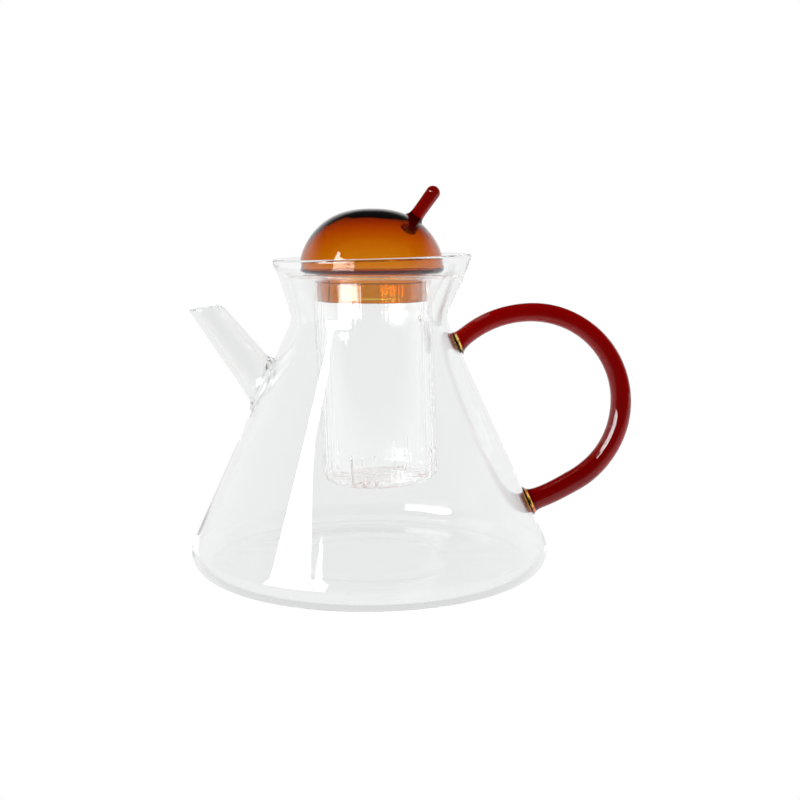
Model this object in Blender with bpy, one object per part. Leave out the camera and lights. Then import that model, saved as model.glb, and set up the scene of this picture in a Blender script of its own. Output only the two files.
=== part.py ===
"""Glass teapot with a hanging infuser and a hollow lid, as separate pieces of glass.

Frame: metres, +Z up, origin at the middle of the base on the pot's axis. The spout points to -X and
the handle to +X. Pieces that are fused on the real teapot keep a small gap here, because every
piece is a closed solid of its own.
"""

from math import atan2, cos, exp, pi, radians, sin, sqrt

import bmesh
import bpy
from mathutils import Euler, Matrix, Vector

MM = 0.001

# Driving dimensions, in millimetres and degrees.
GAP = 0.3  # kept between pieces that touch or are fused
POT_HEIGHT = 140.0
RIM_RADIUS = 44.1  # outside, at the top
WAIST_RADIUS, WAIST_HEIGHT, WAIST_ROUND = 34.4, 113.6, 10.0  # where the cone and the neck lines cross
BASE_RADIUS, BASE_ROUND = 86.2, 8.6  # where the cone line meets the table, and the corner's radius
WALL, FLOOR = 1.9, 2.3

SPOUT_TIP = Vector((-73.9, 0.0, 118.2))  # middle of the tip
SPOUT_ROOT = Vector((-50.4, 0.0, 87.3))  # a point on the spout's axis near the pot
SPOUT_TIP_RADIUS, SPOUT_ROOT_RADIUS, SPOUT_WALL = 6.65, 9.2, 1.8
SPOUT_TIP_CUT = radians(8.0)  # the tip is cut nearly level, rising towards the pot
SPOUT_WELD_RADIUS, SPOUT_WELD_HEIGHT = 13.2, 3.4

LOOP_CENTRE = Vector((73.6, 0.0, 74.2))
LOOP_RADIUS = 41.6
UPPER_FOOT_AT, LOWER_FOOT_AT = Vector((40.9, 0.0, 102.6)), Vector((73.9, 0.0, 28.6))
UPPER_FLARE_FROM, LOWER_FLARE_FROM = radians(95.0), radians(-62.0)  # the arc opens beyond these
ROD_TOP_RADIUS, ROD_LOW_RADIUS = 4.1, 4.95  # the rod is stouter in its lower arm
UPPER_FOOT_RADIUS, LOWER_FOOT_RADIUS, FOOT_LENGTH = 5.9, 7.5, 3.6

SEAT_HEIGHT = 133.8  # top face of the infuser's flange, where the lid sits
FLANGE_THICKNESS, FLANGE_FILLET = 1.5, 2.6
FLANGE_NECK = 5.5  # from the flange's top down to where the tube starts
TUBE_RADIUS, TUBE_WALL, TUBE_BOTTOM, TUBE_BOTTOM_ROUND = 26.6, 1.3, 39.4, 5.0
TUBE_LEAN = radians(2.6)  # the tube is fused by hand and hangs a little off square
SLIT_GROUPS, SLITS_PER_GROUP = 4, 3
SLIT_WIDTH, SLIT_HEIGHT, SLIT_FROM_RADIUS = 0.8, 15.0, 18.0
SLIT_STEP, SLIT_TURN = radians(12.1), radians(-107.0)
VENT_RADIUS, VENT_HEIGHT, VENT_TURN = 1.1, 113.6, radians(-40.0)

DOME_RADIUS, DOME_HEIGHT, DOME_EDGE = 32.4, 25.7, 2.4
DOME_SIDE_POWER, DOME_TOP_POWER = 2.4, 1.7  # a dome a little flatter than an ellipse on top
DOME_WALL, DOME_TOP_WALL, DOME_FLOOR = 1.35, 2.0, 2.0
CROWN_DEPTH, CROWN_RADIUS = 1.2, 17.0  # a gather of glass that hangs inside the top of the dome
DOME_HOLLOW_POWER = 2.3  # the hollow's own side power
COLLAR_RADIUS, COLLAR_LENGTH, COLLAR_WALL = 24.4, 12.5, 1.3
KNOB_REACH, KNOB_RADIUS, KNOB_LENGTH = 19.9, 3.05, 17.9
KNOB_LEAN = radians(36.0)
KNOB_WELD_RADIUS, KNOB_WELD_LENGTH = 4.3, 1.9

SPARE = 20.0  # how far cutters, and ends that are cut back, run past the cut

SEGMENTS, SMALL_SEGMENTS, ROD_SEGMENTS = 48, 32, 20
DOME_STEPS, LOOP_STEPS = 9, 44
CLEAR = ("clear_glass", (0.93, 0.95, 0.95, 1.0))
AMBER = ("amber_glass", (0.62, 0.22, 0.02, 1.0))
DEEP_AMBER = ("deep_amber_glass", (0.27, 0.02, 0.01, 1.0))


def clear_scene():
    for old in list(bpy.data.objects):
        bpy.data.objects.remove(old)


def glass(name, colour):
    found = bpy.data.materials.get(name)
    if found:
        return found
    made = bpy.data.materials.new(name)
    made.use_nodes = True
    shader = made.node_tree.nodes["Principled BSDF"]
    shader.inputs["Base Color"].default_value = colour
    shader.inputs["Roughness"].default_value = 0.02
    shader.inputs["Metallic"].default_value = 0.0
    shader.inputs["IOR"].default_value = 1.47
    shader.inputs["Transmission Weight"].default_value = 1.0
    return made


# Outlines: lists of (radius, height) in millimetres.


def arc(centre, radius, start, end, steps):
    """Points on an arc, both ends included; angles in radians from +radius towards +height."""
    turns = [start + (end - start) * i / steps for i in range(steps + 1)]
    return [(centre[0] + radius * cos(t), centre[1] + radius * sin(t)) for t in turns]


def rounded(before, corner, after, radius, steps):
    """The arc that rounds a corner between two straight runs."""
    corner = Vector(corner)
    one = (Vector(before) - corner).normalized()
    two = (Vector(after) - corner).normalized()
    half = one.angle(two) / 2
    centre = corner + (one + two).normalized() * radius / sin(half)
    start = corner + one * radius / (sin(half) / cos(half)) - centre
    end = corner + two * radius / (sin(half) / cos(half)) - centre
    first, last = atan2(start.y, start.x), atan2(end.y, end.x)
    sweep = (last - first + pi) % (2 * pi) - pi
    return arc(centre, radius, first, first + sweep, steps)


def shifted(a, b, distance):
    """The line through a and b, moved sideways to its left by distance."""
    a, b = Vector(a), Vector(b)
    run = (b - a).normalized()
    side = Vector((-run.y, run.x)) * distance
    return a + side, b + side


def crossing(line, other):
    (a, b), (c, d) = line, other
    run, way = b - a, d - c
    along = ((c - a).cross(way)) / run.cross(way)
    return a + run * along


def pot_lines(inset):
    """Base corner, waist corner and rim of the pot's outline, moved inwards by inset."""
    base, waist = (BASE_RADIUS, 0.0), (WAIST_RADIUS, WAIST_HEIGHT)
    rim = (RIM_RADIUS, POT_HEIGHT)
    cone, neck = shifted(base, waist, inset), shifted(waist, rim, inset)
    level = Vector((0.0, inset)), Vector((BASE_RADIUS, inset))
    top = Vector((0.0, POT_HEIGHT)), Vector((RIM_RADIUS, POT_HEIGHT))
    return crossing(level, cone), crossing(cone, neck), crossing(neck, top)


def neck_inner_radius(height):
    slope = (RIM_RADIUS - WAIST_RADIUS) / (POT_HEIGHT - WAIST_HEIGHT)
    return WAIST_RADIUS + slope * (height - WAIST_HEIGHT) - WALL * sqrt(1 + slope * slope)


def pot_outline():
    """The underside from the axis out, up the outside to the rim, and down the inside."""
    base, waist, rim = pot_lines(0.0)
    inner_base, inner_waist, inner_rim = pot_lines(WALL)
    inner_base = crossing((inner_waist, inner_base), (Vector((0, FLOOR)), Vector((1, FLOOR))))
    outer = [(0.0, 0.0)]
    outer += rounded((0, 0), base, waist, BASE_ROUND, 6)
    outer += rounded(base, waist, rim, WAIST_ROUND, 5)
    lip = (Vector(rim) + Vector(inner_rim)) / 2
    lip.y -= WALL / 2
    half_wall = (Vector(rim) - Vector(inner_rim)).length / 2
    outer += arc(lip, half_wall * 0.97, 0.0, pi, 4)
    inner = rounded(inner_rim, inner_waist, inner_base, WAIST_ROUND + WALL, 5)
    inner += rounded(inner_waist, inner_base, (0, FLOOR), BASE_ROUND - WALL, 6)
    inner += [(0.0, FLOOR)]
    return outer + inner


def pot_envelope_outline():
    """The pot's outside, filled and grown by the gap: what fused pieces are cut back to."""
    base, waist, rim = pot_lines(-GAP)
    base = Vector((base.x, -GAP))
    outline = [(0.0, -GAP)]
    outline += rounded((0, -GAP), base, waist, BASE_ROUND + GAP, 6)
    outline += rounded(base, waist, rim, WAIST_ROUND - GAP, 5)
    return outline + [tuple(rim), (0.0, POT_HEIGHT)]


# Solids.


def finish_mesh(name, mesh_builder, material):
    mesh = bpy.data.meshes.new(name)
    bmesh.ops.remove_doubles(mesh_builder, verts=mesh_builder.verts, dist=1e-7)
    bmesh.ops.dissolve_degenerate(mesh_builder, edges=mesh_builder.edges, dist=1e-8)
    bmesh.ops.recalc_face_normals(mesh_builder, faces=mesh_builder.faces)
    mesh_builder.to_mesh(mesh)
    mesh_builder.free()
    mesh.shade_smooth()
    mesh.set_sharp_from_angle(angle=radians(35))
    thing = bpy.data.objects.new(name, mesh)
    bpy.context.scene.collection.objects.link(thing)
    if material:
        mesh.materials.append(glass(*material))
    return thing


def turned(name, outline, material=None, closed=False, segments=SEGMENTS):
    """Spins an outline about Z. A closed outline makes a ring; an open one starts and ends on Z."""
    builder = bmesh.new()
    points = [builder.verts.new((r * MM, 0.0, z * MM)) for r, z in outline]
    edges = [builder.edges.new(pair) for pair in zip(points, points[1:])]
    if closed:
        edges.append(builder.edges.new((points[-1], points[0])))
    bmesh.ops.spin(
        builder,
        geom=points + edges,
        axis=(0, 0, 1),
        cent=(0, 0, 0),
        angle=2 * pi,
        steps=segments,
        use_merge=True,
    )
    return finish_mesh(name, builder, material)


def place(thing, at, turn=(0.0, 0.0, 0.0)):
    """Puts a piece at a point in millimetres, turned about X, Y and Z."""
    thing.location = Vector(at) * MM
    thing.rotation_euler = Euler(turn)
    return thing


def lean_towards(direction):
    """The turn about Y that takes +Z to a direction in the XZ plane."""
    return (0.0, atan2(direction.x, direction.z), 0.0)


def cutter(thing):
    thing.hide_render = True
    thing.display_type = "WIRE"
    return thing


def cut(thing, tool):
    modifier = thing.modifiers.new("cut by " + tool.name, "BOOLEAN")
    modifier.operation = "DIFFERENCE"
    modifier.solver = "EXACT"
    modifier.object = tool


def weld_outline(foot_radius, neck_radius, height, depth):
    """A bead that narrows in a hollow curve from its foot to its neck, with spare depth below."""
    middle = foot_radius + (neck_radius - foot_radius) * 0.65
    outline = [(0.0, -depth), (foot_radius, -depth), (foot_radius, height * 0.2)]
    return outline + [(middle, height * 0.5), (neck_radius, height), (0.0, height)]


def box_into(builder, size, matrix):
    """A box whose size is in millimetres, placed by a matrix in metres."""
    scale = Matrix.Diagonal((*(v * MM for v in size), 1.0))
    bmesh.ops.create_cube(builder, size=1.0, matrix=matrix @ scale)


def block_above(name, width):
    """A cutter that takes everything above its own XY plane."""
    builder = bmesh.new()
    box_into(builder, (width, width, width), Matrix.Translation((0, 0, width / 2 * MM)))
    return cutter(finish_mesh(name, builder, None))


# The spout.


def spout_axis():
    return (SPOUT_TIP - SPOUT_ROOT).normalized()


def spout_radius(along):
    """Outer radius at a distance from the root point towards the tip."""
    share = along / (SPOUT_TIP - SPOUT_ROOT).length
    return SPOUT_ROOT_RADIUS + (SPOUT_TIP_RADIUS - SPOUT_ROOT_RADIUS) * share


def make_spout(pot, envelope):
    turn = lean_towards(spout_axis())
    ends = [(spout_radius(s), s) for s in (-SPARE, (SPOUT_TIP - SPOUT_ROOT).length + SPARE)]
    outline = ends + [(r - SPOUT_WALL, s) for r, s in reversed(ends)]
    spout = turned("spout_tube", outline, CLEAR, closed=True, segments=SMALL_SEGMENTS)
    place(spout, SPOUT_ROOT, turn)
    cut(spout, envelope)
    above_tip = block_above("spout_tip_cutter", 4 * SPARE)
    place(above_tip, SPOUT_TIP, (0.0, -SPOUT_TIP_CUT, 0.0))
    cut(spout, above_tip)

    bore_radius = spout_radius(0.0) - SPOUT_WALL
    bore = [(0.0, -SPARE), (bore_radius, -SPARE), (bore_radius, SPARE), (0.0, SPARE)]
    bore_cutter = cutter(turned("spout_bore_cutter", bore, segments=SMALL_SEGMENTS))
    place(bore_cutter, SPOUT_ROOT, turn)
    cut(pot, bore_cutter)


def make_spout_weld(envelope):
    """A low ring of glass that spreads the spout's root onto the cone."""
    axis = spout_axis()
    cone_lean = atan2(BASE_RADIUS - WAIST_RADIUS, WAIST_HEIGHT)
    outwards = Vector((-cos(cone_lean), 0.0, sin(cone_lean)))
    # Where the spout's axis passes the cone's outside, on the -X side.
    on_cone = Vector((-BASE_RADIUS, 0.0, 0.0))
    along = (on_cone - SPOUT_ROOT).dot(outwards) / axis.dot(outwards)
    centre = SPOUT_ROOT + axis * along
    outline = weld_outline(SPOUT_WELD_RADIUS, SPOUT_WELD_RADIUS - 1.9, SPOUT_WELD_HEIGHT, 4.0)
    weld = turned("spout_weld", outline, CLEAR, segments=SMALL_SEGMENTS)
    place(weld, centre, lean_towards(outwards))

    ends = [(spout_radius(s) + GAP, s) for s in (-SPARE, SPARE)]
    outline = [(0.0, -SPARE)] + ends + [(0.0, SPARE)]
    tube = cutter(turned("spout_envelope_cutter", outline, segments=SMALL_SEGMENTS))
    place(tube, SPOUT_ROOT, lean_towards(axis))
    cut(weld, tube)
    cut(weld, envelope)


# The handle.


def loop_point(turn):
    """A point on the handle's centreline; turn is measured at the loop's centre from +X up."""
    radius = LOOP_RADIUS
    for foot, start in ((UPPER_FOOT_AT, UPPER_FLARE_FROM), (LOWER_FOOT_AT, LOWER_FLARE_FROM)):
        arm = foot - LOOP_CENTRE
        share = (turn - start) / (atan2(arm.z, arm.x) - start)
        radius += (arm.length - LOOP_RADIUS) * max(share, 0.0) ** 1.6
    return LOOP_CENTRE + Vector((cos(turn), 0.0, sin(turn))) * radius


def foot_turn(foot):
    arm = foot - LOOP_CENTRE
    return atan2(arm.z, arm.x)


def make_handle(envelope):
    high, low = foot_turn(UPPER_FOOT_AT), foot_turn(LOWER_FOOT_AT)
    inset = (FOOT_LENGTH + GAP) / LOOP_RADIUS  # the rod stops short of the wall by the foot's length
    curve = bpy.data.curves.new("handle_rod", "CURVE")
    curve.dimensions = "3D"
    curve.bevel_depth = MM
    curve.bevel_resolution = 6
    curve.use_fill_caps = True
    spline = curve.splines.new("POLY")
    spline.points.add(LOOP_STEPS)
    for i, point in enumerate(spline.points):
        share = i / LOOP_STEPS
        turn = low + inset + (high - low - 2 * inset) * share
        point.co = (*(loop_point(turn) * MM), 1.0)
        eased = share * share * (3 - 2 * share)
        point.radius = ROD_LOW_RADIUS + (ROD_TOP_RADIUS - ROD_LOW_RADIUS) * eased
    curve.materials.append(glass(*DEEP_AMBER))
    rod = bpy.data.objects.new("handle_rod", curve)
    bpy.context.scene.collection.objects.link(rod)

    feet = (
        ("handle_upper_foot", high, high - inset, UPPER_FOOT_RADIUS, ROD_TOP_RADIUS),
        ("handle_lower_foot", low, low + inset, LOWER_FOOT_RADIUS, ROD_LOW_RADIUS),
    )
    for name, wall_turn, rod_turn, foot_radius, rod_radius in feet:
        rod_end, wall_end = loop_point(rod_turn), loop_point(wall_turn)
        before = loop_point(rod_turn - (wall_turn - rod_turn) * 0.01)
        way = (rod_end - before).normalized()  # straight on from the rod's end
        reach = (wall_end - rod_end).dot(way)
        neck = rod_radius + (foot_radius - rod_radius) * 0.25
        outline = [(0.0, GAP), (rod_radius, GAP), (neck, reach * 0.6), (foot_radius, reach)]
        outline += [(foot_radius, reach + foot_radius), (0.0, reach + foot_radius)]
        foot = turned(name, outline, DEEP_AMBER, segments=ROD_SEGMENTS)
        place(foot, rod_end, lean_towards(way))
        cut(foot, envelope)


# The infuser, which lifts out.


def make_infuser(seat):
    top, bottom = 0.0, -FLANGE_THICKNESS
    outer = neck_inner_radius(SEAT_HEIGHT - FLANGE_THICKNESS / 2) - GAP - 0.1
    inner = TUBE_RADIUS - TUBE_WALL
    half = FLANGE_THICKNESS / 2
    outline = [(inner, -FLANGE_NECK), (TUBE_RADIUS, -FLANGE_NECK)]
    below = (TUBE_RADIUS, -FLANGE_NECK), (TUBE_RADIUS, bottom), (outer, bottom)
    outline += rounded(*below, FLANGE_FILLET, 4)
    outline += arc((outer - half, -half), half, -pi / 2, pi / 2, 4)
    outline += rounded((outer, top), (inner, top), (inner, -FLANGE_NECK), half, 3)
    flange = turned("infuser_flange", outline, CLEAR, closed=True)
    flange.parent = seat

    tube_top = SEAT_HEIGHT - FLANGE_NECK - GAP
    length = tube_top - TUBE_BOTTOM
    outside = [(0.0, -length)]
    outside += rounded((0, -length), (TUBE_RADIUS, -length), (TUBE_RADIUS, 0), TUBE_BOTTOM_ROUND, 5)
    floor = -length + TUBE_WALL
    inside = rounded((inner, 0), (inner, floor), (0, floor), TUBE_BOTTOM_ROUND - TUBE_WALL, 5)
    spare = 3.0  # the leaning tube is made longer and cut level under the flange
    outline = outside + [(TUBE_RADIUS, spare), (inner, spare)] + inside + [(0.0, floor)]
    tube = turned("infuser_tube", outline, CLEAR)
    tube.parent = seat
    place(tube, (0.0, 0.0, -FLANGE_NECK - GAP), (0.0, -TUBE_LEAN, 0.0))
    level = block_above("tube_top_cutter", 4 * SPARE)
    level.parent = seat
    place(level, (0.0, 0.0, -FLANGE_NECK - GAP))
    cut(tube, level)

    builder = bmesh.new()
    deep = TUBE_RADIUS + 2.0 - SLIT_FROM_RADIUS
    for group in range(SLIT_GROUPS):
        for slit in range(SLITS_PER_GROUP):
            offset = slit - (SLITS_PER_GROUP - 1) / 2
            turn = SLIT_TURN + group * 2 * pi / SLIT_GROUPS + offset * SLIT_STEP
            matrix = Matrix.Rotation(turn, 4, "Z") @ Matrix.Translation(
                Vector((SLIT_FROM_RADIUS + deep / 2, 0.0, -length + SLIT_HEIGHT / 2 - 1.0)) * MM
            )
            box_into(builder, (deep, SLIT_WIDTH, SLIT_HEIGHT + 2.0), matrix)
    vent = Matrix.Rotation(VENT_TURN, 4, "Z") @ Matrix.Translation(
        Vector((TUBE_RADIUS - TUBE_WALL / 2, 0.0, VENT_HEIGHT - tube_top)) * MM
    )
    bmesh.ops.create_cone(
        builder,
        cap_ends=True,
        segments=12,
        radius1=VENT_RADIUS * MM,
        radius2=VENT_RADIUS * MM,
        depth=4 * TUBE_WALL * MM,
        matrix=vent @ Matrix.Rotation(pi / 2, 4, "Y"),
    )
    holes = cutter(finish_mesh("infuser_holes_cutter", builder, None))
    holes.parent = tube
    cut(tube, holes)


# The lid, which lifts off.


def dome_curve(radius, height, side_power, steps, crown=0.0):
    """A dome's curve from its widest ring to the top; heights are above the ring."""
    points = []
    for i in range(steps + 1):
        turn = pi / 2 * i / steps
        out = radius * cos(turn) ** (2 / side_power) if i < steps else 0.0
        share = sin(turn) ** (2 / DOME_TOP_POWER)
        points.append((out, (height - crown * exp(-((out / CROWN_RADIUS) ** 2))) * share))
    return points


def raised(outline, by):
    return [(r, z + by) for r, z in outline]


def make_lid(seat):
    ring = GAP + DOME_EDGE  # height of the widest ring above the seat
    inner = COLLAR_RADIUS - COLLAR_WALL
    floor = GAP + DOME_FLOOR
    edge = rounded((0, GAP), (DOME_RADIUS, GAP), (DOME_RADIUS, ring + 5), DOME_EDGE, 3)
    skin = dome_curve(DOME_RADIUS, DOME_HEIGHT, DOME_SIDE_POWER, DOME_STEPS)
    outside = raised(skin, ring)[:0:-1] + edge[::-1] + [(inner, GAP)]
    room = (DOME_RADIUS - DOME_WALL, DOME_HEIGHT - DOME_TOP_WALL)
    hollow = raised(dome_curve(*room, DOME_HOLLOW_POWER, DOME_STEPS, CROWN_DEPTH), ring)
    hollow = [p for p in hollow if p[1] > floor + 0.6]
    inside = [(inner, floor), (DOME_RADIUS - DOME_WALL - 1.0, floor)] + hollow
    dome = turned("lid_dome", outside + inside, AMBER)
    dome.parent = seat

    collar = [(COLLAR_RADIUS, 0.0), (inner, 0.0), (inner, -COLLAR_LENGTH)]
    collar += [(COLLAR_RADIUS, -COLLAR_LENGTH)]
    turned("lid_collar", collar, AMBER, closed=True).parent = seat

    root_height = ring + dome_height_at(KNOB_REACH)
    root = Vector((KNOB_REACH, 0.0, root_height))
    turn = (0.0, KNOB_LEAN, 0.0)
    skin = dome_curve(DOME_RADIUS + GAP, DOME_HEIGHT + GAP, DOME_SIDE_POWER, 2 * DOME_STEPS)
    grown = raised(skin, ring)
    outline = [(0.0, GAP), (DOME_RADIUS + GAP, GAP)] + grown
    envelope = cutter(turned("dome_envelope_cutter", outline))
    envelope.parent = seat

    outline = weld_outline(KNOB_WELD_RADIUS, KNOB_RADIUS, KNOB_WELD_LENGTH, KNOB_WELD_RADIUS)
    weld = turned("knob_weld", outline, DEEP_AMBER, segments=ROD_SEGMENTS)
    weld.parent = seat
    place(weld, root, turn)
    cut(weld, envelope)

    start = KNOB_WELD_LENGTH + GAP
    round_end = arc((0.0, KNOB_LENGTH - KNOB_RADIUS), KNOB_RADIUS, 0.0, pi / 2, 5)
    knob_outline = [(0.0, start), (KNOB_RADIUS, start)] + round_end[:-1] + [(0.0, KNOB_LENGTH)]
    knob = turned("lid_knob", knob_outline, DEEP_AMBER, segments=ROD_SEGMENTS)
    knob.parent = seat
    place(knob, root, turn)


def dome_height_at(radius):
    """Height above the widest ring of the dome's outside at a radius."""
    share = 1 - (radius / DOME_RADIUS) ** DOME_SIDE_POWER
    return DOME_HEIGHT * share ** (1 / DOME_TOP_POWER)


def make_seat():
    """An empty on the pot's axis at the flange's top, which the infuser and the lid hang from."""
    seat = bpy.data.objects.new("seat", None)
    bpy.context.scene.collection.objects.link(seat)
    seat.location = (0.0, 0.0, SEAT_HEIGHT * MM)
    return seat


def main():
    clear_scene()
    pot = turned("pot_body", pot_outline(), CLEAR)
    envelope = cutter(turned("pot_envelope_cutter", pot_envelope_outline()))
    make_spout(pot, envelope)
    make_spout_weld(envelope)
    make_handle(envelope)
    seat = make_seat()
    make_infuser(seat)
    make_lid(seat)


main()
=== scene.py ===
from math import atan2, cos, exp, hypot, pi, radians, sin, sqrt, tan

import bmesh
import bpy
import numpy as np
from mathutils import Matrix, Vector, noise


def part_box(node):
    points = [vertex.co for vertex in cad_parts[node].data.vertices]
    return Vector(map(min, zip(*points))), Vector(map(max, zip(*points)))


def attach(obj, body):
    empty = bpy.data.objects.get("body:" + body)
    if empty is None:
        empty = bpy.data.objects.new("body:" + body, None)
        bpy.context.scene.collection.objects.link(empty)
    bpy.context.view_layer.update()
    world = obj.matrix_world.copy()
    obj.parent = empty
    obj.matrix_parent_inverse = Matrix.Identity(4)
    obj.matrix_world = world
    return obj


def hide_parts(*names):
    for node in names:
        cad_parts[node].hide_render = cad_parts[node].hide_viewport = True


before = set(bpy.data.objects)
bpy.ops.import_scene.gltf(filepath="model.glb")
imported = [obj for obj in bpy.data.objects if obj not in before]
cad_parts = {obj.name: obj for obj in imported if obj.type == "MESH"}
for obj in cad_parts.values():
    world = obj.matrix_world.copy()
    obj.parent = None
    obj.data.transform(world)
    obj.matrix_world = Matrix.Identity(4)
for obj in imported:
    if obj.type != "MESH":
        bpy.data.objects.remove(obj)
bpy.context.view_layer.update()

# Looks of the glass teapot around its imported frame. What is fused is one closed mesh where its glass is
# one colour: the pot with its spout, the infuser, the lid with its collar, and the knob. The handle is
# three: its rod, the pale seams and the dark rings at its feet. Lengths are in millimetres unless a
# name or comment says metres; the studio at the end is in metres.

MM = 0.001


def node_box(name):
    low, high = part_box(name)
    return low / MM, high / MM


# Main dimensions, read from the frame's boxes, and the outline's own numbers.
POT_HIGH = node_box("pot_body")[1]
RIM_RAISE = 1.0  # the rim is this much higher here than on the frame's pot, which is a little low
POT_HEIGHT = POT_HIGH.z + RIM_RAISE
RIM_RADIUS = 44.5
WAIST_RADIUS, WAIST_HEIGHT, WAIST_ROUND = 34.4, 113.6, 10.0
BASE_RADIUS, BASE_ROUND = 86.2, 8.6
WALL, FLOOR = 1.9, 2.3
CONE_SLOPE = (BASE_RADIUS - WAIST_RADIUS) / WAIST_HEIGHT
CONE_LEAN = atan2(BASE_RADIUS - WAIST_RADIUS, WAIST_HEIGHT)

SPOUT_TIP, SPOUT_ROOT = Vector((-73.9, 0.0, 118.2)), Vector((-50.4, 0.0, 87.3))
SPOUT_TIP_RADIUS, SPOUT_ROOT_RADIUS, SPOUT_WALL = 6.65, 9.2, 1.8
SPOUT_TIP_CUT = radians(8.0)

LOOP_CENTRE, LOOP_RADIUS = Vector((73.6, 0.0, 74.2)), 41.6
UPPER_FOOT_AT, LOWER_FOOT_AT = Vector((40.9, 0.0, 102.6)), Vector((73.9, 0.0, 28.6))
UPPER_FLARE_FROM, LOWER_FLARE_FROM = radians(95.0), radians(-62.0)
ROD_TOP_RADIUS, ROD_LOW_RADIUS = 4.1, 4.95
# From the wall outwards: where a foot's pale seam starts and ends, and the split between the pieces.
SEAM_FROM, SEAM_TO, SEAM_SPLIT = 0.5, 1.5, 0.03

COLLAR_LOW, COLLAR_HIGH = node_box("lid_collar")
SEAT = COLLAR_HIGH.z
FLANGE_THICKNESS, FLANGE_NECK = 1.5, 5.5
TUBE_RADIUS, TUBE_WALL, TUBE_BOTTOM, TUBE_BOTTOM_ROUND = 26.6, 1.3, 39.4, 5.0
TUBE_LEAN = radians(2.6)
DOME_RADIUS, DOME_HEIGHT, DOME_EDGE = 32.4, 25.7, 2.4
DOME_SIDE_POWER, DOME_TOP_POWER = 2.4, 1.7
DOME_WALL, DOME_TOP_WALL, DOME_FLOOR = 1.35, 2.0, 2.0
CROWN_DEPTH, CROWN_RADIUS = 1.2, 17.0
DOME_HOLLOW_POWER = 2.3
COLLAR_RADIUS, COLLAR_WALL = 24.4, 1.3
COLLAR_LENGTH = COLLAR_HIGH.z - COLLAR_LOW.z
KNOB_REACH, KNOB_RADIUS, KNOB_LENGTH, KNOB_LEAN = 19.9, 3.05, 17.9, radians(36.0)
GAP = 0.3
LID_LOW = SEAT + GAP
DOME_RING = LID_LOW + DOME_EDGE  # height where the dome's rounded lower edge ends
# The neck was drawn by hand: it leans a little towards the handle, and its rim rises that way.
NECK_LEAN, RIM_TILT = 1.2, radians(1.7)


# Numbers shared by the shapes.


def clamped(share):
    return min(max(share, 0.0), 1.0)


def eased(share):
    return share * share * (3 - 2 * share)


# Outlines: lists of (radius, height).


def arc(centre, radius, start, end, steps):
    turns = np.linspace(start, end, steps + 1)
    return [(centre[0] + radius * cos(t), centre[1] + radius * sin(t)) for t in turns]


def rounded(before, corner, after, radius, steps):
    corner = Vector(corner)
    one = (Vector(before) - corner).normalized()
    two = (Vector(after) - corner).normalized()
    half = one.angle(two) / 2
    centre = corner + (one + two).normalized() * radius / sin(half)
    start = corner + one * radius / tan(half) - centre
    end = corner + two * radius / tan(half) - centre
    first, last = atan2(start.y, start.x), atan2(end.y, end.x)
    sweep = (last - first + pi) % (2 * pi) - pi
    return arc(centre, radius, first, first + sweep, steps)


def shifted(a, b, distance):
    a, b = Vector(a), Vector(b)
    run = (b - a).normalized()
    side = Vector((-run.y, run.x)) * distance
    return a + side, b + side


def crossing(line, other):
    (a, b), (c, d) = line, other
    run, way = b - a, d - c
    return a + run * (((c - a).cross(way)) / run.cross(way))


def dense(outline, step):
    """Adds points so that no run is longer than step."""
    out = [tuple(outline[0])]
    for a, b in zip(outline, outline[1:]):
        n = max(1, round(hypot(b[0] - a[0], b[1] - a[1]) / step))
        out += [(a[0] + (b[0] - a[0]) * i / n, a[1] + (b[1] - a[1]) * i / n) for i in range(1, n + 1)]
    return out


# Meshes.


def link(name, mesh):
    thing = bpy.data.objects.new(name, mesh)
    bpy.context.scene.collection.objects.link(thing)
    return thing


def mesh_from(name, verts, faces):
    mesh = bpy.data.meshes.new(name)
    mesh.from_pydata([tuple(v) for v in np.asarray(verts) * MM], [], faces)
    builder = bmesh.new()
    builder.from_mesh(mesh)
    bmesh.ops.recalc_face_normals(builder, faces=builder.faces)
    builder.to_mesh(mesh)
    builder.free()
    mesh.shade_smooth()
    return link(name, mesh)


def rings_mesh(name, rings, first_pole=None, last_pole=None, ring_closed=False):
    """Rows of the same number of points, joined by quads; poles close the ends, or the rows close up."""
    count = len(rings[0])
    verts = np.concatenate(rings)
    faces = []
    pairs = list(zip(range(len(rings)), range(1, len(rings))))
    if ring_closed:
        pairs.append((len(rings) - 1, 0))
    for a, b in pairs:
        for j in range(count):
            k = (j + 1) % count
            faces.append((a * count + j, a * count + k, b * count + k, b * count + j))
    for pole, row in ((first_pole, 0), (last_pole, len(rings) - 1)):
        if pole is None:
            continue
        verts = np.concatenate([verts, [pole]])
        tip = len(verts) - 1
        faces += [(row * count + j, row * count + (j + 1) % count, tip) for j in range(count)]
    return mesh_from(name, verts, faces)


def ripple(seed, turn, along, around_scale, along_scale):
    """Smooth noise on a turned surface, from -1 to 1, longer along the axis than around it."""
    where = (cos(turn) * around_scale, sin(turn) * around_scale, along / along_scale)
    return noise.noise(Vector(where) + Vector((seed * 7.3, seed * 3.1, seed * 11.7)))


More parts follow.
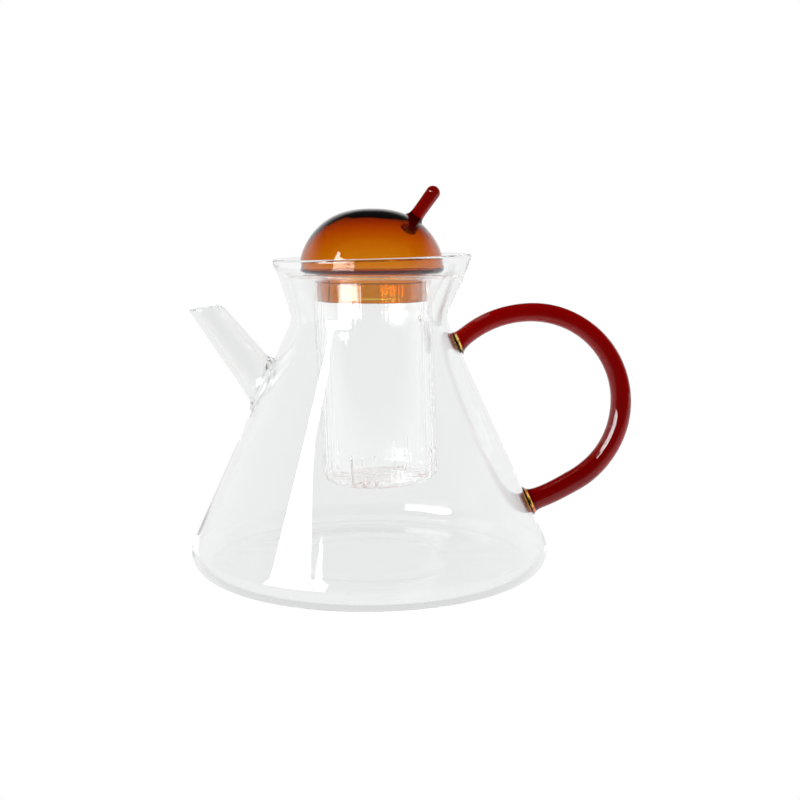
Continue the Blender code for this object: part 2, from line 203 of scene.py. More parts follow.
def turned(name, outline, segments, waves=(), fade=12.0):
    """Spins an outline about Z. waves: (seed, height of the ripple, around scale, length along)."""
    points = np.array(outline, float)
    run = np.gradient(points, axis=0)
    sideways = np.stack([run[:, 1], -run[:, 0]], 1)
    sideways /= np.maximum(np.linalg.norm(sideways, axis=1), 1e-9)[:, None]
    along = np.concatenate([[0], np.cumsum(np.hypot(*np.diff(points, axis=0).T))])
    turns = np.linspace(0, 2 * pi, segments, endpoint=False)
    poles, rings = [], []
    for i, (radius, height) in enumerate(points):
        if radius < 1e-6:
            poles.append(np.array([0.0, 0.0, height]))
            continue
        level = abs(sideways[i, 1])
        ease = 1.0 - level * (1.0 - min(1.0, (radius / fade) ** 2))
        push = np.zeros(segments)
        for seed, size, around, length in waves:
            push += [size * ease * ripple(seed, t, along[i], around, length) for t in turns]
        r = radius + sideways[i, 0] * push
        rings.append(np.stack([r * np.cos(turns), r * np.sin(turns), height + sideways[i, 1] * push], 1))
    if poles:
        return rings_mesh(name, rings, poles[0], poles[1])
    return rings_mesh(name, rings, ring_closed=True)


def combine(thing, tool, operation):
    """Boolean with another closed mesh, whose object is then removed."""
    modifier = thing.modifiers.new("combine", "BOOLEAN")
    modifier.operation, modifier.solver, modifier.object = operation, "MANIFOLD", tool
    graph = bpy.context.evaluated_depsgraph_get()
    mesh = bpy.data.meshes.new_from_object(thing.evaluated_get(graph))
    thing.modifiers.clear()
    old, thing.data = thing.data, mesh
    mesh.name = thing.name
    bpy.data.meshes.remove(old)
    bpy.data.objects.remove(tool)
    return thing


def bend_neck(thing):
    """Leans what is above the waist, and tilts what is near the rim."""
    for vertex in thing.data.vertices:
        x, y, z = vertex.co / MM
        share = clamped((z - WAIST_HEIGHT) / (SEAT - WAIST_HEIGHT))
        lip = clamped((z - SEAT) / (POT_HEIGHT - SEAT))
        vertex.co.x += NECK_LEAN * eased(share) * MM
        vertex.co.z += x * tan(RIM_TILT) * lip * MM


def frame_of(axis):
    """Two directions square to an axis that lies in the XZ plane."""
    axis = Vector(axis).normalized()
    return axis, Vector((0.0, 1.0, 0.0)), Vector((0.0, 1.0, 0.0)).cross(axis)


# The pot and its spout.

TURNED_SEGMENTS = 224
# The middle of the base stands off the table, inside a faint round ridge; less of it shows inside.
BASE_LIFT, BASE_LIFT_EDGE, BASE_LIFT_RUN = 0.7, 66.0, 24.0
RIDGE_HEIGHT, RIDGE_RADIUS, RIDGE_WIDTH = 0.2, 37.0, 4.5
INNER_RELIEF = 0.6
LIP_SWELL = 1.22  # the rim's round edge against half the wall
LIP_TURN = 0.25  # how far past a half circle it goes at each side
POT_WAVES = [(1, 0.10, 1.4, 70.0), (2, 0.035, 5.0, 55.0)]
POT_FADE = 80.0
CAVITY_DROP = 3  # the space that trims the spout's root stops this far under the rim
SPOUT_RINGS, SPOUT_AROUND = 90, 128
TUBE_BACK, BORE_BACK, BORE_PAST_TIP = -16.0, -22.0, 8.0
WELD_SPREAD, WELD_FALL = 2.6, 1.5


def pot_lines(inset):
    base, pinch = (BASE_RADIUS, 0.0), (WAIST_RADIUS, WAIST_HEIGHT)
    rim = (RIM_RADIUS, POT_HEIGHT)
    cone, neck = shifted(base, pinch, inset), shifted(pinch, rim, inset)
    level = Vector((0.0, inset)), Vector((BASE_RADIUS, inset))
    top = Vector((0.0, POT_HEIGHT)), Vector((RIM_RADIUS, POT_HEIGHT))
    return crossing(level, cone), crossing(cone, neck), crossing(neck, top)


def base_relief(radius, amount):
    lift = BASE_LIFT * eased(clamped((BASE_LIFT_EDGE - radius) / BASE_LIFT_RUN))
    ridge = exp(-(((radius - RIDGE_RADIUS) / RIDGE_WIDTH) ** 2)) * RIDGE_HEIGHT
    return (lift - ridge) * amount


def pot_outlines():
    base, waist, rim = pot_lines(0.0)
    inner_base, inner_waist, inner_rim = pot_lines(WALL)
    inner_base = crossing((inner_waist, inner_base), (Vector((0, FLOOR)), Vector((1, FLOOR))))
    heel = rounded((0, 0), base, waist, BASE_ROUND, 18)
    inner_heel = rounded(inner_waist, inner_base, (0, FLOOR), BASE_ROUND - WALL, 14)
    under = dense([(0.0, 0.0), heel[0]], 1.2)
    under = [(r, base_relief(r, 1.0)) for r, z in under]
    side = dense([heel[-1], *rounded(base, waist, rim, WAIST_ROUND, 14)], 2.0)
    outer = under + heel[1:-1] + side
    lip = (Vector(rim) + Vector(inner_rim)) / 2
    half = (Vector(rim) - Vector(inner_rim)).length / 2 * LIP_SWELL
    lip.y -= half
    edge = arc(lip, half, -LIP_TURN, pi + LIP_TURN, 12)
    outer = dense(outer + [edge[0]], 2.0)[:-1] + edge
    inner = dense([edge[-1], *rounded(inner_rim, inner_waist, inner_base, WAIST_ROUND + WALL, 14)], 2.0)
    inner = inner[1:] + dense([inner[-1], inner_heel[0]], 2.0)[1:] + inner_heel[1:]
    floor = dense([inner_heel[-1], (0.0, FLOOR)], 1.2)[1:]
    inner += [(r, FLOOR + base_relief(r, INNER_RELIEF)) for r, z in floor]
    return outer, inner


def outside_distance(point):
    """Distance in front of the cone's outside."""
    return (hypot(point[0], point[1]) - (BASE_RADIUS - CONE_SLOPE * point[2])) * cos(CONE_LEAN)


def spout_radius(along):
    share = along / (SPOUT_TIP - SPOUT_ROOT).length
    return SPOUT_ROOT_RADIUS + (SPOUT_TIP_RADIUS - SPOUT_ROOT_RADIUS) * share


def weld_swell(gap):
    return WELD_SPREAD * exp(-gap / WELD_FALL)


def spout_solid(name, radii_at_tip, grow, back, weld=None):
    """A solid along the spout's axis; its tip end follows the slanted cut."""
    axis, side, up = frame_of(SPOUT_TIP - SPOUT_ROOT)
    level = Vector((-sin(SPOUT_TIP_CUT), 0.0, cos(SPOUT_TIP_CUT)))
    turns = np.linspace(0, 2 * pi, SPOUT_AROUND, endpoint=False)

    def out(t):
        return side * cos(t) + up * sin(t)

    def tip_along(t, radius, raise_by):
        start = SPOUT_ROOT + out(t) * radius
        return (SPOUT_TIP + level * raise_by - start).dot(level) / axis.dot(level)

    rings = []
    first_radius, first_raise = radii_at_tip[-1]
    for i in range(SPOUT_RINGS):
        ring = []
        for t in turns:
            end = tip_along(t, first_radius, first_raise)
            s = back + (end - back) * (i / SPOUT_RINGS)
            flat = SPOUT_ROOT + axis * s + out(t) * (spout_radius(s) + grow)
            more = weld(max(outside_distance(flat), 0.0)) if weld else 0.0
            ring.append(flat + out(t) * more)
        rings.append(np.array([tuple(p) for p in ring]))
    for radius, raise_by in reversed(radii_at_tip):
        ring = [SPOUT_ROOT + out(t) * radius + axis * tip_along(t, radius, raise_by) for t in turns]
        rings.append(np.array([tuple(p) for p in ring]))
    inner_end = SPOUT_ROOT + axis * (back - 0.01)
    last = SPOUT_ROOT + axis * tip_along(0.0, 0.0, radii_at_tip[0][1])
    return rings_mesh(name, rings, tuple(inner_end), tuple(last))


def make_pot():
    outer, inner = pot_outlines()
    pot = turned("pot_glass", outer + inner[1:], TURNED_SEGMENTS, POT_WAVES, fade=POT_FADE)
    top = POT_HEIGHT - CAVITY_DROP
    walls = [(r, z) for r, z in inner if z < top]
    cavity = turned("cavity", [(0.0, top), (walls[0][0], top)] + walls, TURNED_SEGMENTS)

    half = SPOUT_WALL / 2
    mid = SPOUT_TIP_RADIUS - half
    turns = np.linspace(0.05, 1.35, 6)
    tip_outer = [(mid + half * sin(a), -half * (1 - cos(a))) for a in turns]
    tube = spout_solid("tube", tip_outer, 0.0, TUBE_BACK, weld_swell)
    combine(tube, cavity, "DIFFERENCE")
    combine(pot, tube, "UNION")
    tip_inner = [(mid - half * sin(a), -half * (1 - cos(a))) for a in turns]
    tip_inner = [(mid - 0.02, BORE_PAST_TIP)] + tip_inner
    bore = spout_solid("bore", tip_inner, -SPOUT_WALL, BORE_BACK)
    combine(pot, bore, "DIFFERENCE")
    bend_neck(pot)
    return pot


# The handle.

ROD_STEPS, ROD_AROUND = 260, 56
ROD_OVERRUN = 0.07  # radians by which the rod runs into the wall before it is trimmed
ARM_POWER = 1.6  # how late an arm leaves the round loop
LOW_FLARE, TOP_FLARE, FLARE_FALL = 2.3, 1.5, 1.3
ROD_WAVER = 0.12
FOOT_SINK = 0.4  # the feet sink a little into the wall, as fused glass does


def loop_point(turn):
    radius = LOOP_RADIUS
    for foot, start in ((UPPER_FOOT_AT, UPPER_FLARE_FROM), (LOWER_FOOT_AT, LOWER_FLARE_FROM)):
        arm = foot - LOOP_CENTRE
        share = (turn - start) / (atan2(arm.z, arm.x) - start)
        radius += (arm.length - LOOP_RADIUS) * max(share, 0.0) ** ARM_POWER
    return LOOP_CENTRE + Vector((cos(turn), 0.0, sin(turn))) * radius


def make_handle():
    high = atan2(UPPER_FOOT_AT.z - LOOP_CENTRE.z, UPPER_FOOT_AT.x - LOOP_CENTRE.x)
    low = atan2(LOWER_FOOT_AT.z - LOOP_CENTRE.z, LOWER_FOOT_AT.x - LOOP_CENTRE.x)
    rings = []
    for i in range(ROD_STEPS + 1):
        share = i / ROD_STEPS
        turn = low - ROD_OVERRUN + (high - low + 2 * ROD_OVERRUN) * share
        here = loop_point(turn)
        way = (loop_point(turn + 0.004) - loop_point(turn - 0.004)).normalized()
        axis, side, up = frame_of(way)
        rise = eased(clamped((turn - low) / (high - low)))
        rod = ROD_LOW_RADIUS + (ROD_TOP_RADIUS - ROD_LOW_RADIUS) * rise
        rod += ROD_WAVER * noise.noise(Vector((share * 9.0, 4.2, 1.0)))
        flare = LOW_FLARE + (TOP_FLARE - LOW_FLARE) * rise
        ring = []
        for j in range(ROD_AROUND):
            t = 2 * pi * j / ROD_AROUND
            out = side * cos(t) + up * sin(t)
            gap = max(outside_distance(here + out * rod), 0.0)
            ring.append(tuple(here + out * (rod + flare * exp(-gap / FLARE_FALL))))
        rings.append(np.array(ring))
    ends = [tuple(loop_point(low - ROD_OVERRUN - 0.001)), tuple(loop_point(high + ROD_OVERRUN + 0.001))]
    whole = rings_mesh("handle_glass", rings, ends[0], ends[1])
    # From the wall outwards: a dark ring, a pale seam, then the rod.
    combine(whole, cone_block(-FOOT_SINK), "DIFFERENCE")
    seams = link("handle_seams", whole.data.copy())
    dark = link("handle_dark_rings", whole.data.copy())
    combine(whole, cone_block(SEAM_TO), "DIFFERENCE")
    combine(dark, cone_block(SEAM_FROM), "INTERSECT")
    combine(seams, cone_block(SEAM_TO - SEAM_SPLIT), "INTERSECT")
    combine(seams, cone_block(SEAM_FROM + SEAM_SPLIT), "DIFFERENCE")
    return whole, seams, dark


def cone_block(distance):
    """The inside of the cone, filled and grown by a distance."""
    reach = BASE_RADIUS + distance / cos(CONE_LEAN)
    low, high = 5.0, 111.0
    outline = [(0.0, low), (reach - CONE_SLOPE * low, low), (reach - CONE_SLOPE * high, high), (0.0, high)]
    return turned("cone_block", outline, TURNED_SEGMENTS)


# The infuser.

FLANGE_CLEARANCE = 0.35
FLANGE_FILLET = 2.6
LEAN_RUN = 8.0
INFUSER_WAVES = [(3, 0.05, 1.6, 60.0), (4, 0.03, 9.0, 90.0)]
SLIT_GROUPS, SLIT_HEIGHTS = 4, (15.4, 14.5, 15.2)
SLIT_TURN, SLIT_PITCH = radians(-107.0), radians(12.1)
SLIT_WIDTH, SLIT_ROUND, SLIT_UNDER = 0.8, 0.36, 2.0
SLIT_FROM, SLIT_TO = 18.0, 30.0  # distances from the tube's axis
VENT_TURN, VENT_HEIGHT, VENT_RADIUS = radians(-40.0), 113.6, 1.1


def lean(thing, top):
    """Leans what is below a height, with a soft start."""
    for vertex in thing.data.vertices:
        x, y, z = vertex.co / MM
        if z >= top:
            continue
        turn = -TUBE_LEAN * eased(min((top - z) / LEAN_RUN, 1.0))
        below = z - top
        across, up = x * cos(turn) + below * sin(turn), below * cos(turn) - x * sin(turn)
        vertex.co = Vector((across, y, top + up)) * MM


def shift_with_neck(thing):
    for vertex in thing.data.vertices:
        vertex.co.x += NECK_LEAN * MM


def neck_inner_radius(height):
    slope = (RIM_RADIUS - WAIST_RADIUS) / (POT_HEIGHT - WAIST_HEIGHT)
    return WAIST_RADIUS + slope * (height - WAIST_HEIGHT) - WALL * sqrt(1 + slope * slope)


def make_infuser():
    half = FLANGE_THICKNESS / 2
    outer = neck_inner_radius(SEAT - half) - FLANGE_CLEARANCE
    inner = TUBE_RADIUS - TUBE_WALL
    top, bottom = SEAT, SEAT - FLANGE_THICKNESS
    floor = TUBE_BOTTOM + TUBE_WALL
    outline = [(0.0, TUBE_BOTTOM)]
    heel = (TUBE_RADIUS, TUBE_BOTTOM)
    outline += rounded((0, TUBE_BOTTOM), heel, (TUBE_RADIUS, SEAT), TUBE_BOTTOM_ROUND, 14)
    outline += rounded(heel, (TUBE_RADIUS, bottom), (outer, bottom), FLANGE_FILLET, 10)
    outline += arc((outer - half, SEAT - half), half, -pi / 2, pi / 2, 14)
    outline += rounded((outer, top), (inner, top), (inner, TUBE_BOTTOM), 1.2, 8)
    outline += rounded((inner, SEAT), (inner, floor), (0, floor), TUBE_BOTTOM_ROUND - TUBE_WALL, 12)
    outline += [(0.0, floor)]
    infuser = turned("infuser_glass", dense(outline, 1.6), 192, INFUSER_WAVES)
    combine(infuser, infuser_holes(), "DIFFERENCE")
    lean(infuser, SEAT - FLANGE_NECK)
    shift_with_neck(infuser)
    return infuser


def infuser_holes():
    """The slits, in groups of three, and the vent."""
    builder = bmesh.new()
    for group in range(SLIT_GROUPS):
        for slit, tall in enumerate(SLIT_HEIGHTS):
            turn = SLIT_TURN + group * pi / 2 + (slit - 1) * SLIT_PITCH
            middle = Vector(((SLIT_FROM + SLIT_TO) / 2, 0.0, TUBE_BOTTOM + (tall - SLIT_UNDER) / 2))
            matrix = Matrix.Rotation(turn, 4, "Z") @ Matrix.Translation(middle * MM)
            size = Vector((SLIT_TO - SLIT_FROM, SLIT_WIDTH, tall + SLIT_UNDER)) * MM
            box = bmesh.ops.create_cube(builder, size=1.0, matrix=matrix @ Matrix.Diagonal((*size, 1.0)))
            edges = {e for v in box["verts"] for e in v.link_edges}
            across = matrix.to_3x3() @ Vector((1.0, 0.0, 0.0))
            ends = [e for e in edges if abs((e.verts[0].co - e.verts[1].co).normalized().dot(across)) > 0.99]
            bmesh.ops.bevel(builder, geom=ends, offset=SLIT_ROUND * MM, segments=4, affect="EDGES")
    place = Vector((TUBE_RADIUS, 0.0, VENT_HEIGHT)) * MM
    vent = Matrix.Rotation(VENT_TURN, 4, "Z") @ Matrix.Translation(place)
    radius = VENT_RADIUS * MM
    bmesh.ops.create_cone(
        builder, cap_ends=True, segments=32, radius1=radius, radius2=radius, depth=5 * MM,
        matrix=vent @ Matrix.Rotation(pi / 2, 4, "Y"),
    )
    mesh = bpy.data.meshes.new("holes")
    bmesh.ops.recalc_face_normals(builder, faces=builder.faces)
    builder.to_mesh(mesh)
    builder.free()
    return link("holes", mesh)


# The lid.

LID_WAVES = [(5, 0.08, 1.3, 30.0), (6, 0.02, 5.0, 25.0)]
HOLLOW_START = 1.4  # the hollow's curve begins this far above the lid's floor, after a rounded corner
DOME_STEPS = 56


def dome_curve(radius, height, side_power, steps, crown=0.0):
    points = []
    for i in range(steps + 1):
        turn = pi / 2 * (i / steps)
        out = radius * cos(turn) ** (2 / side_power) if i < steps else 0.0
        share = sin(turn) ** (2 / DOME_TOP_POWER)
        points.append((out, (height - crown * exp(-((out / CROWN_RADIUS) ** 2))) * share))
    return points


def raised(outline, by):
    return [(r, z + by) for r, z in outline]


def make_lid():
    ring, low = DOME_RING, LID_LOW
    inner = COLLAR_RADIUS - COLLAR_WALL
    floor = low + DOME_FLOOR
    edge = rounded((0, low), (DOME_RADIUS, low), (DOME_RADIUS, ring + 5), DOME_EDGE, 10)
    skin = dome_curve(DOME_RADIUS, DOME_HEIGHT, DOME_SIDE_POWER, DOME_STEPS)
    outline = raised(skin, ring)[::-1] + edge[::-1][1:]
    outline += rounded((DOME_RADIUS, low), (COLLAR_RADIUS, low), (COLLAR_RADIUS, low - 9), 0.8, 5)
    bottom = low - COLLAR_LENGTH
    middle = COLLAR_RADIUS - COLLAR_WALL / 2
    outline += arc((middle, bottom + COLLAR_WALL / 2), COLLAR_WALL / 2, 0.0, -pi, 10)
    outline += rounded((inner, bottom), (inner, floor), (DOME_RADIUS, floor), 1.6, 6)
    room = (DOME_RADIUS - DOME_WALL, DOME_HEIGHT - DOME_TOP_WALL)
    hollow = raised(dome_curve(*room, DOME_HOLLOW_POWER, DOME_STEPS, CROWN_DEPTH), ring)
    hollow = [p for p in hollow if p[1] > floor + HOLLOW_START]
    corner = (DOME_RADIUS - DOME_WALL, floor)
    outline += rounded((inner, floor), corner, (corner[0], floor + 5), HOLLOW_START, 8) + hollow
    lid = turned("lid_glass", dense(outline, 1.3), 192, LID_WAVES)
    shift_with_neck(lid)
    return lid


def dome_height_at(radius):
    share = 1 - min(radius / DOME_RADIUS, 1.0) ** DOME_SIDE_POWER
    return DOME_HEIGHT * share ** (1 / DOME_TOP_POWER)


KNOB_AROUND = 56
PLUG_DEPTH, PLUG_RADIUS, TIP_RADIUS = 5.4, 3.9, 3.25
KNOB_SWELL, KNOB_WELD, KNOB_WELD_FALL, KNOB_WELD_REACH = 0.22, 1.5, 1.7, 4.0


def make_knob():
    root = Vector((KNOB_REACH, 0.0, DOME_RING + dome_height_at(KNOB_REACH)))
    axis, side, up = frame_of((sin(KNOB_LEAN), 0.0, cos(KNOB_LEAN)))
    rings = []
    # (distance along the axis, radius): a plug inside the dome, the weld, the rod and its round end.
    depth, plug, tip = PLUG_DEPTH, PLUG_RADIUS, TIP_RADIUS
    profile = [(-depth + depth * (1 - cos(a)) * 0.3, plug * sin(a)) for a in np.linspace(0.12, pi / 2, 10)]
    profile += [(s, plug) for s in np.linspace(profile[-1][0] + 0.3, 0.0, 7)]
    profile += [(s, None) for s in np.arange(0.2, KNOB_LENGTH - 3.4, 0.28)]
    profile += [
        (KNOB_LENGTH - tip + tip * sin(a), tip * cos(a)) for a in np.linspace(0.0, pi / 2 - 0.08, 14)
    ]
    for s, given in profile:
        ring_points = []
        for j in range(KNOB_AROUND):
            t = 2 * pi * j / KNOB_AROUND
            out = side * cos(t) + up * sin(t)
            if given is None:
                swell = (s / KNOB_LENGTH) ** 2 * KNOB_SWELL
                here = root + axis * s + out * (KNOB_RADIUS + swell)
                over = here.z - DOME_RING - dome_height_at(hypot(here.x - NECK_LEAN, here.y))
                weld = exp(-max(over, 0.0) / KNOB_WELD_FALL) * exp(-s / KNOB_WELD_REACH)
                radius = KNOB_RADIUS + swell + KNOB_WELD * weld
            else:
                radius = given
            ring_points.append(tuple(root + axis * s + out * radius))
        rings.append(np.array(ring_points))
    first, last = root - axis * depth, root + axis * KNOB_LENGTH
    return rings_mesh("knob_glass", rings, tuple(first), tuple(last))


# Materials.


# Base colours; absorption colours with their densities per metre.
UNTINTED, POT_TINT, INFUSER_TINT = (1.0, 1.0, 1.0), (0.945, 0.95, 0.95), (0.995, 0.995, 0.995)
AMBER = (0.91, 0.70, 0.01), 2000.0
HANDLE_AMBER = (0.93, 0.66, 0.05), 2800.0
KNOB_AMBER = (0.91, 0.66, 0.05), 3200.0
SEAM_AMBER = (0.995, 0.92, 0.66), 600.0
RING_DARK = (0.40, 0.20, 0.05), 3000.0
GLASS_IOR = 1.47
STREAKS_TOP = (SEAT - 1.0) * MM


def glass(name, colour, ripple_size, absorb=None, see_through=False, drawn_below=None):
    """Clear glass with a fine ripple; absorb is a colour and a density for its volume."""
    material = bpy.data.materials.new(name)
    material.use_nodes = True
    nodes, links = material.node_tree.nodes, material.node_tree.links
    shader, output = nodes["Principled BSDF"], nodes["Material Output"]
    shader.inputs["Base Color"].default_value = (*colour, 1.0)
    shader.inputs["Roughness"].default_value = 0.0
    shader.inputs["IOR"].default_value = GLASS_IOR
    shader.inputs["Transmission Weight"].default_value = 1.0
    place = nodes.new("ShaderNodeTexCoord")
    streaks = nodes.new("ShaderNodeMapping")
    streaks.inputs["Scale"].default_value = (1.0, 1.0, 0.22)
    waves = nodes.new("ShaderNodeTexNoise")
    waves.inputs["Scale"].default_value = 180.0
    waves.inputs["Detail"].default_value = 3.0
    bump = nodes.new("ShaderNodeBump")
    bump.inputs["Strength"].default_value = ripple_size
    bump.inputs["Distance"].default_value = 0.0001
    links.new(place.outputs["Object"], streaks.inputs["Vector"])
    links.new(streaks.outputs["Vector"], waves.inputs["Vector"])
    links.new(waves.outputs["Fac"], bump.inputs["Height"])
    normal = bump.outputs["Normal"]
    if drawn_below:
        normal = drawn_streaks(nodes, links, place.outputs["Object"], normal, drawn_below)
    links.new(normal, shader.inputs["Normal"])
    if absorb:
        volume = nodes.new("ShaderNodeVolumeAbsorption")
        volume.inputs["Color"].default_value = (*absorb[0], 1.0)
        volume.inputs["Density"].default_value = absorb[1]
        links.new(volume.outputs["Volume"], output.inputs["Volume"])
    if see_through:
        path = nodes.new("ShaderNodeLightPath")
        clear = nodes.new("ShaderNodeBsdfTransparent")
        mix = nodes.new("ShaderNodeMixShader")
        links.new(path.outputs["Is Shadow Ray"], mix.inputs["Fac"])
        links.new(shader.outputs["BSDF"], mix.inputs[1])
        links.new(clear.outputs["BSDF"], mix.inputs[2])
        links.new(mix.outputs["Shader"], output.inputs["Surface"])
    return material


def drawn_streaks(nodes, links, vector, normal, top):
    """Fine upright waves that drawing the tube leaves, below a height in metres."""
    stretch = nodes.new("ShaderNodeMapping")
    stretch.inputs["Scale"].default_value = (1.0, 1.0, 0.04)
    waves = nodes.new("ShaderNodeTexNoise")
    waves.inputs["Scale"].default_value = 370.0
    waves.inputs["Detail"].default_value = 2.0
    parts = nodes.new("ShaderNodeSeparateXYZ")
    under = nodes.new("ShaderNodeMath")
    under.operation = "LESS_THAN"
    under.inputs[1].default_value = top
    height = nodes.new("ShaderNodeMath")
    height.operation = "MULTIPLY"
    bump = nodes.new("ShaderNodeBump")
    bump.inputs["Strength"].default_value = 1.0
    bump.inputs["Distance"].default_value = 0.0003
    links.new(vector, stretch.inputs["Vector"])
    links.new(stretch.outputs["Vector"], waves.inputs["Vector"])
    links.new(vector, parts.inputs["Vector"])
    links.new(parts.outputs["Z"], under.inputs[0])
    links.new(waves.outputs["Fac"], height.inputs[0])
    links.new(under.outputs["Value"], height.inputs[1])
    links.new(height.outputs["Value"], bump.inputs["Height"])
    links.new(normal, bump.inputs["Normal"])
    return bump.outputs["Normal"]


def dress(thing, material, body, slot, *nodes):
    thing.data.materials.clear()
    thing.data.materials.append(material)
    for polygon in thing.data.polygons:
        polygon.use_smooth = True
        polygon.material_index = 0
    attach(thing, body)
    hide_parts(*nodes)


clear = glass("clear_glass_visual", POT_TINT, 0.08, see_through=True)
clearest = glass("infuser_glass_visual", INFUSER_TINT, 0.08, see_through=True, drawn_below=STREAKS_TOP)
amber = glass("amber_glass_visual", UNTINTED, 0.08, AMBER, drawn_below=STREAKS_TOP)
deep = glass("handle_glass_visual", UNTINTED, 0.06, HANDLE_AMBER)
deepest = glass("knob_glass_visual", UNTINTED, 0.06, KNOB_AMBER)
seam = glass("seam_glass_visual", UNTINTED, 0.06, SEAM_AMBER)
dark = glass("dark_ring_visual", UNTINTED, 0.06, RING_DARK)

dress(make_pot(), clear, "pot", "clear_glass", "pot_body", "spout_tube", "spout_weld")
rod, seams, dark_rings = make_handle()
dress(rod, deep, "pot", "deep_amber_glass", "handle_rod")
dress(seams, seam, "pot", "deep_amber_glass", "handle_upper_foot", "handle_lower_foot")
dress(dark_rings, dark, "pot", "deep_amber_glass", "handle_upper_foot", "handle_lower_foot")
dress(make_infuser(), clearest, "infuser", "clear_glass", "infuser_tube", "infuser_flange")
dress(make_lid(), amber, "lid", "amber_glass", "lid_dome", "lid_collar")
dress(make_knob(), deepest, "lid", "deep_amber_glass", "lid_knob", "knob_weld")


# The studio. Ramps: from and to along Y or Z (a direction for the world, metres for the floor), then
# the levels there.
WORLD_BACK, WORLD_HEIGHT = (0.0, 0.7, 0.03, 0.92), (0.25, 0.6, 1.0, 0.04)
FLOOR_BACK = (-0.25, 0.05, 0.05, 0.92)
INSIDE_BACK = (-0.5, 0.1, 0.1, 0.92)
BEHIND_WALLS, MANY_WALLS = 1.15, 5.5
FLOOR_REACH, FLOOR_DROP = 3000.0, 0.25  # millimetres
CAMERA_AT, CAMERA_DOWN, CAMERA_TURN = (0.0, -0.545, 0.154), 8.16, -1.46  # metres, then degrees
SENSOR_WIDTH, FOCAL_LENGTH = 36.0, 54.3
# A tall window-like softbox on the left, in a plane parallel to YZ; its top is higher at both ends.
SOFTBOX_X, SOFTBOX_Y, SOFTBOX_Z = -0.6, (-1.20, -0.297), (0.02, 0.51)
SOFTBOX_RADIANCE = 15.0
SOFTBOXES = (
    ("softbox", SOFTBOX_Y, SOFTBOX_Z),
    ("softbox_near_top", (-0.40, SOFTBOX_Y[1]), (SOFTBOX_Z[1], 0.60)),
    ("softbox_far_top", (SOFTBOX_Y[0], -0.85), (SOFTBOX_Z[1], 0.64)),
)
LONG_PATH = 256


def make_floor():
    around = ((-1, -1), (1, -1), (1, 1), (-1, 1))
    corners = [(x * FLOOR_REACH, y * FLOOR_REACH, -FLOOR_DROP) for x, y in around]
    mesh = bpy.data.meshes.new("studio_floor")
    mesh.from_pydata([tuple(c * MM for c in v) for v in corners], [], [(0, 1, 2, 3)])
    floor = link("studio_floor", mesh)
    material = bpy.data.materials.new("studio_floor")
    material.use_nodes = True
    shader = material.node_tree.nodes["Principled BSDF"]
    shader.inputs["Base Color"].default_value = (0.0, 0.0, 0.0, 1.0)
    shader.inputs["Roughness"].default_value = 1.0
    shader.inputs["Specular IOR Level"].default_value = 0.0
    shader.inputs["Emission Color"].default_value = (1.0, 1.0, 1.0, 1.0)
    nodes, links = material.node_tree.nodes, material.node_tree.links
    place = nodes.new("ShaderNodeTexCoord")
    level = mirror_level(nodes, links, place.outputs["Object"], FLOOR_BACK, WORLD_HEIGHT)
    links.new(behind_walls(nodes, links, level), shader.inputs["Emission Strength"])
    mesh.materials.append(material)


def smooth_ramp(nodes, links, value, start, end, low, high):
    ramp = nodes.new("ShaderNodeMapRange")
    ramp.interpolation_type = "SMOOTHSTEP"
    for key, number in zip(("From Min", "From Max", "To Min", "To Max"), (start, end, low, high)):
        ramp.inputs[key].default_value = number
    links.new(value, ramp.inputs["Value"])
    return ramp.outputs["Result"]


def times(nodes, links, one, other):
    product = nodes.new("ShaderNodeMath")
    product.operation = "MULTIPLY"
    links.new(one, product.inputs[0])
    links.new(other, product.inputs[1])
    return product.outputs["Value"]


def mirror_level(nodes, links, vector, back_ramp, height_ramp):
    """1 for what is seen directly or through glass, dim for what the glass mirrors.

    What an outer face mirrors is white only low and behind; what is mirrored inside the glass is
    white from the sides and above too.
    """
    parts = nodes.new("ShaderNodeSeparateXYZ")
    links.new(vector, parts.inputs["Vector"])
    back = smooth_ramp(nodes, links, parts.outputs["Y"], *back_ramp)
    height = smooth_ramp(nodes, links, parts.outputs["Z"], *height_ramp)
    path = nodes.new("ShaderNodeLightPath")
    mirrored = nodes.new("ShaderNodeMath")
    mirrored.operation = "GREATER_THAN"
    mirrored.inputs[1].default_value = 0.5
    mix = nodes.new("ShaderNodeMix")
    mix.data_type = "FLOAT"
    mix.inputs["A"].default_value = 1.0
    links.new(path.outputs["Glossy Depth"], mirrored.inputs[0])
    links.new(mirrored.outputs["Value"], mix.inputs["Factor"])
    inside = nodes.new("ShaderNodeMath")
    inside.operation = "GREATER_THAN"
    inside.inputs[1].default_value = 0.5
    which = nodes.new("ShaderNodeMix")
    which.data_type = "FLOAT"
    links.new(path.outputs["Transmission Depth"], inside.inputs[0])
    links.new(inside.outputs["Value"], which.inputs["Factor"])
    links.new(times(nodes, links, back, height), which.inputs["A"])
    links.new(smooth_ramp(nodes, links, parts.outputs["Y"], *INSIDE_BACK), which.inputs["B"])
    links.new(which.outputs["Result"], mix.inputs["B"])
    return mix.outputs["Result"]


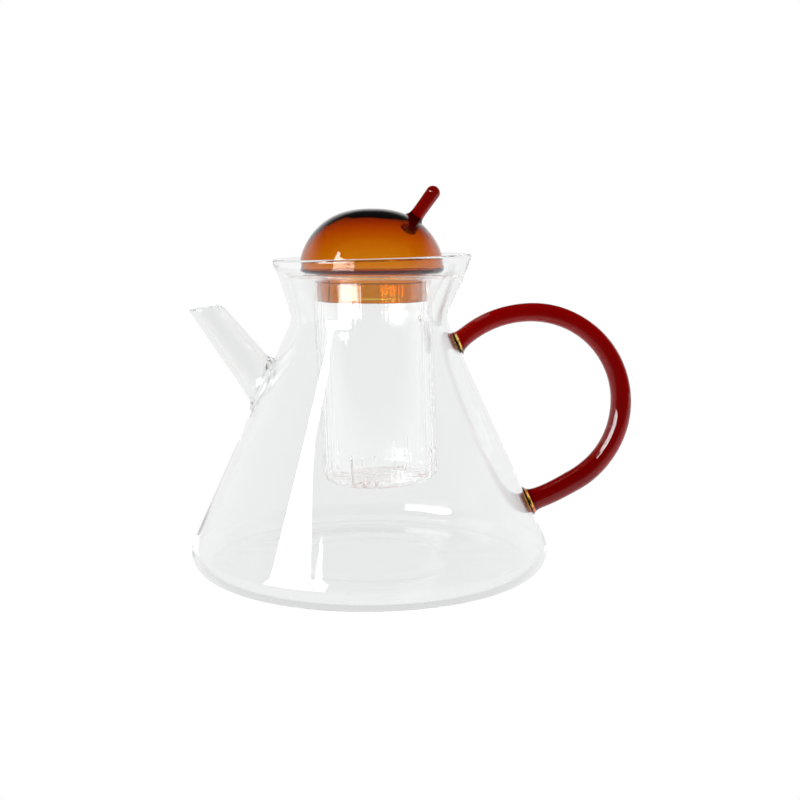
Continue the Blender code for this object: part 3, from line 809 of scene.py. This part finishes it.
def behind_walls(nodes, links, level):
    """Lifts what is seen through many walls of glass."""
    path = nodes.new("ShaderNodeLightPath")
    many = nodes.new("ShaderNodeMath")
    many.operation = "GREATER_THAN"
    many.inputs[1].default_value = MANY_WALLS
    lift = nodes.new("ShaderNodeMath")
    lift.operation = "MULTIPLY_ADD"
    lift.inputs[1].default_value = BEHIND_WALLS - 1.0
    lift.inputs[2].default_value = 1.0
    links.new(path.outputs["Transmission Depth"], many.inputs[0])
    links.new(many.outputs["Value"], lift.inputs[0])
    return times(nodes, links, lift.outputs["Value"], level)


def make_world():
    """White to look at and through; what the glass mirrors is white behind and dim in front."""
    world = bpy.data.worlds.new("studio")
    bpy.context.scene.world = world
    world.use_nodes = True
    nodes, links = world.node_tree.nodes, world.node_tree.links
    background = nodes["Background"]
    background.inputs["Color"].default_value = (1.0, 1.0, 1.0, 1.0)
    place = nodes.new("ShaderNodeTexCoord")
    level = mirror_level(nodes, links, place.outputs["Generated"], WORLD_BACK, WORLD_HEIGHT)
    links.new(behind_walls(nodes, links, level), background.inputs["Strength"])


def make_softbox(name, along, height):
    """A patch of the softbox, from and to along Y and Z, that faces the teapot's side."""
    size = (along[1] - along[0], height[1] - height[0])
    centre = (SOFTBOX_X, sum(along) / 2, sum(height) / 2)
    look_at = (0.0, centre[1], centre[2])
    light = bpy.data.lights.new(name, "AREA")
    light.shape = "RECTANGLE"
    light.size, light.size_y = size
    light.energy = SOFTBOX_RADIANCE * pi * size[0] * size[1]
    lamp = bpy.data.objects.new(name, light)
    bpy.context.scene.collection.objects.link(lamp)
    lamp.location = centre
    lamp.rotation_euler = (Vector(look_at) - Vector(centre)).to_track_quat("-Z", "Y").to_euler()


def make_camera():
    camera = bpy.data.objects.new("camera", bpy.data.cameras.new("camera"))
    bpy.context.scene.collection.objects.link(camera)
    camera.location = CAMERA_AT
    camera.rotation_euler = (radians(90.0 - CAMERA_DOWN), 0.0, radians(CAMERA_TURN))
    camera.data.sensor_width = SENSOR_WIDTH
    camera.data.lens = FOCAL_LENGTH
    camera.data.clip_start = 0.01
    bpy.context.scene.camera = camera


make_floor()
make_world()
for name, along, height in SOFTBOXES:
    make_softbox(name, along, height)
make_camera()

scene = bpy.context.scene
scene.view_settings.view_transform = "Standard"
# Light runs along inside the glass walls for many reflections.
scene.cycles.max_bounces = LONG_PATH
scene.cycles.transmission_bounces = LONG_PATH
scene.cycles.glossy_bounces = LONG_PATH
scene.cycles.transparent_max_bounces = 16
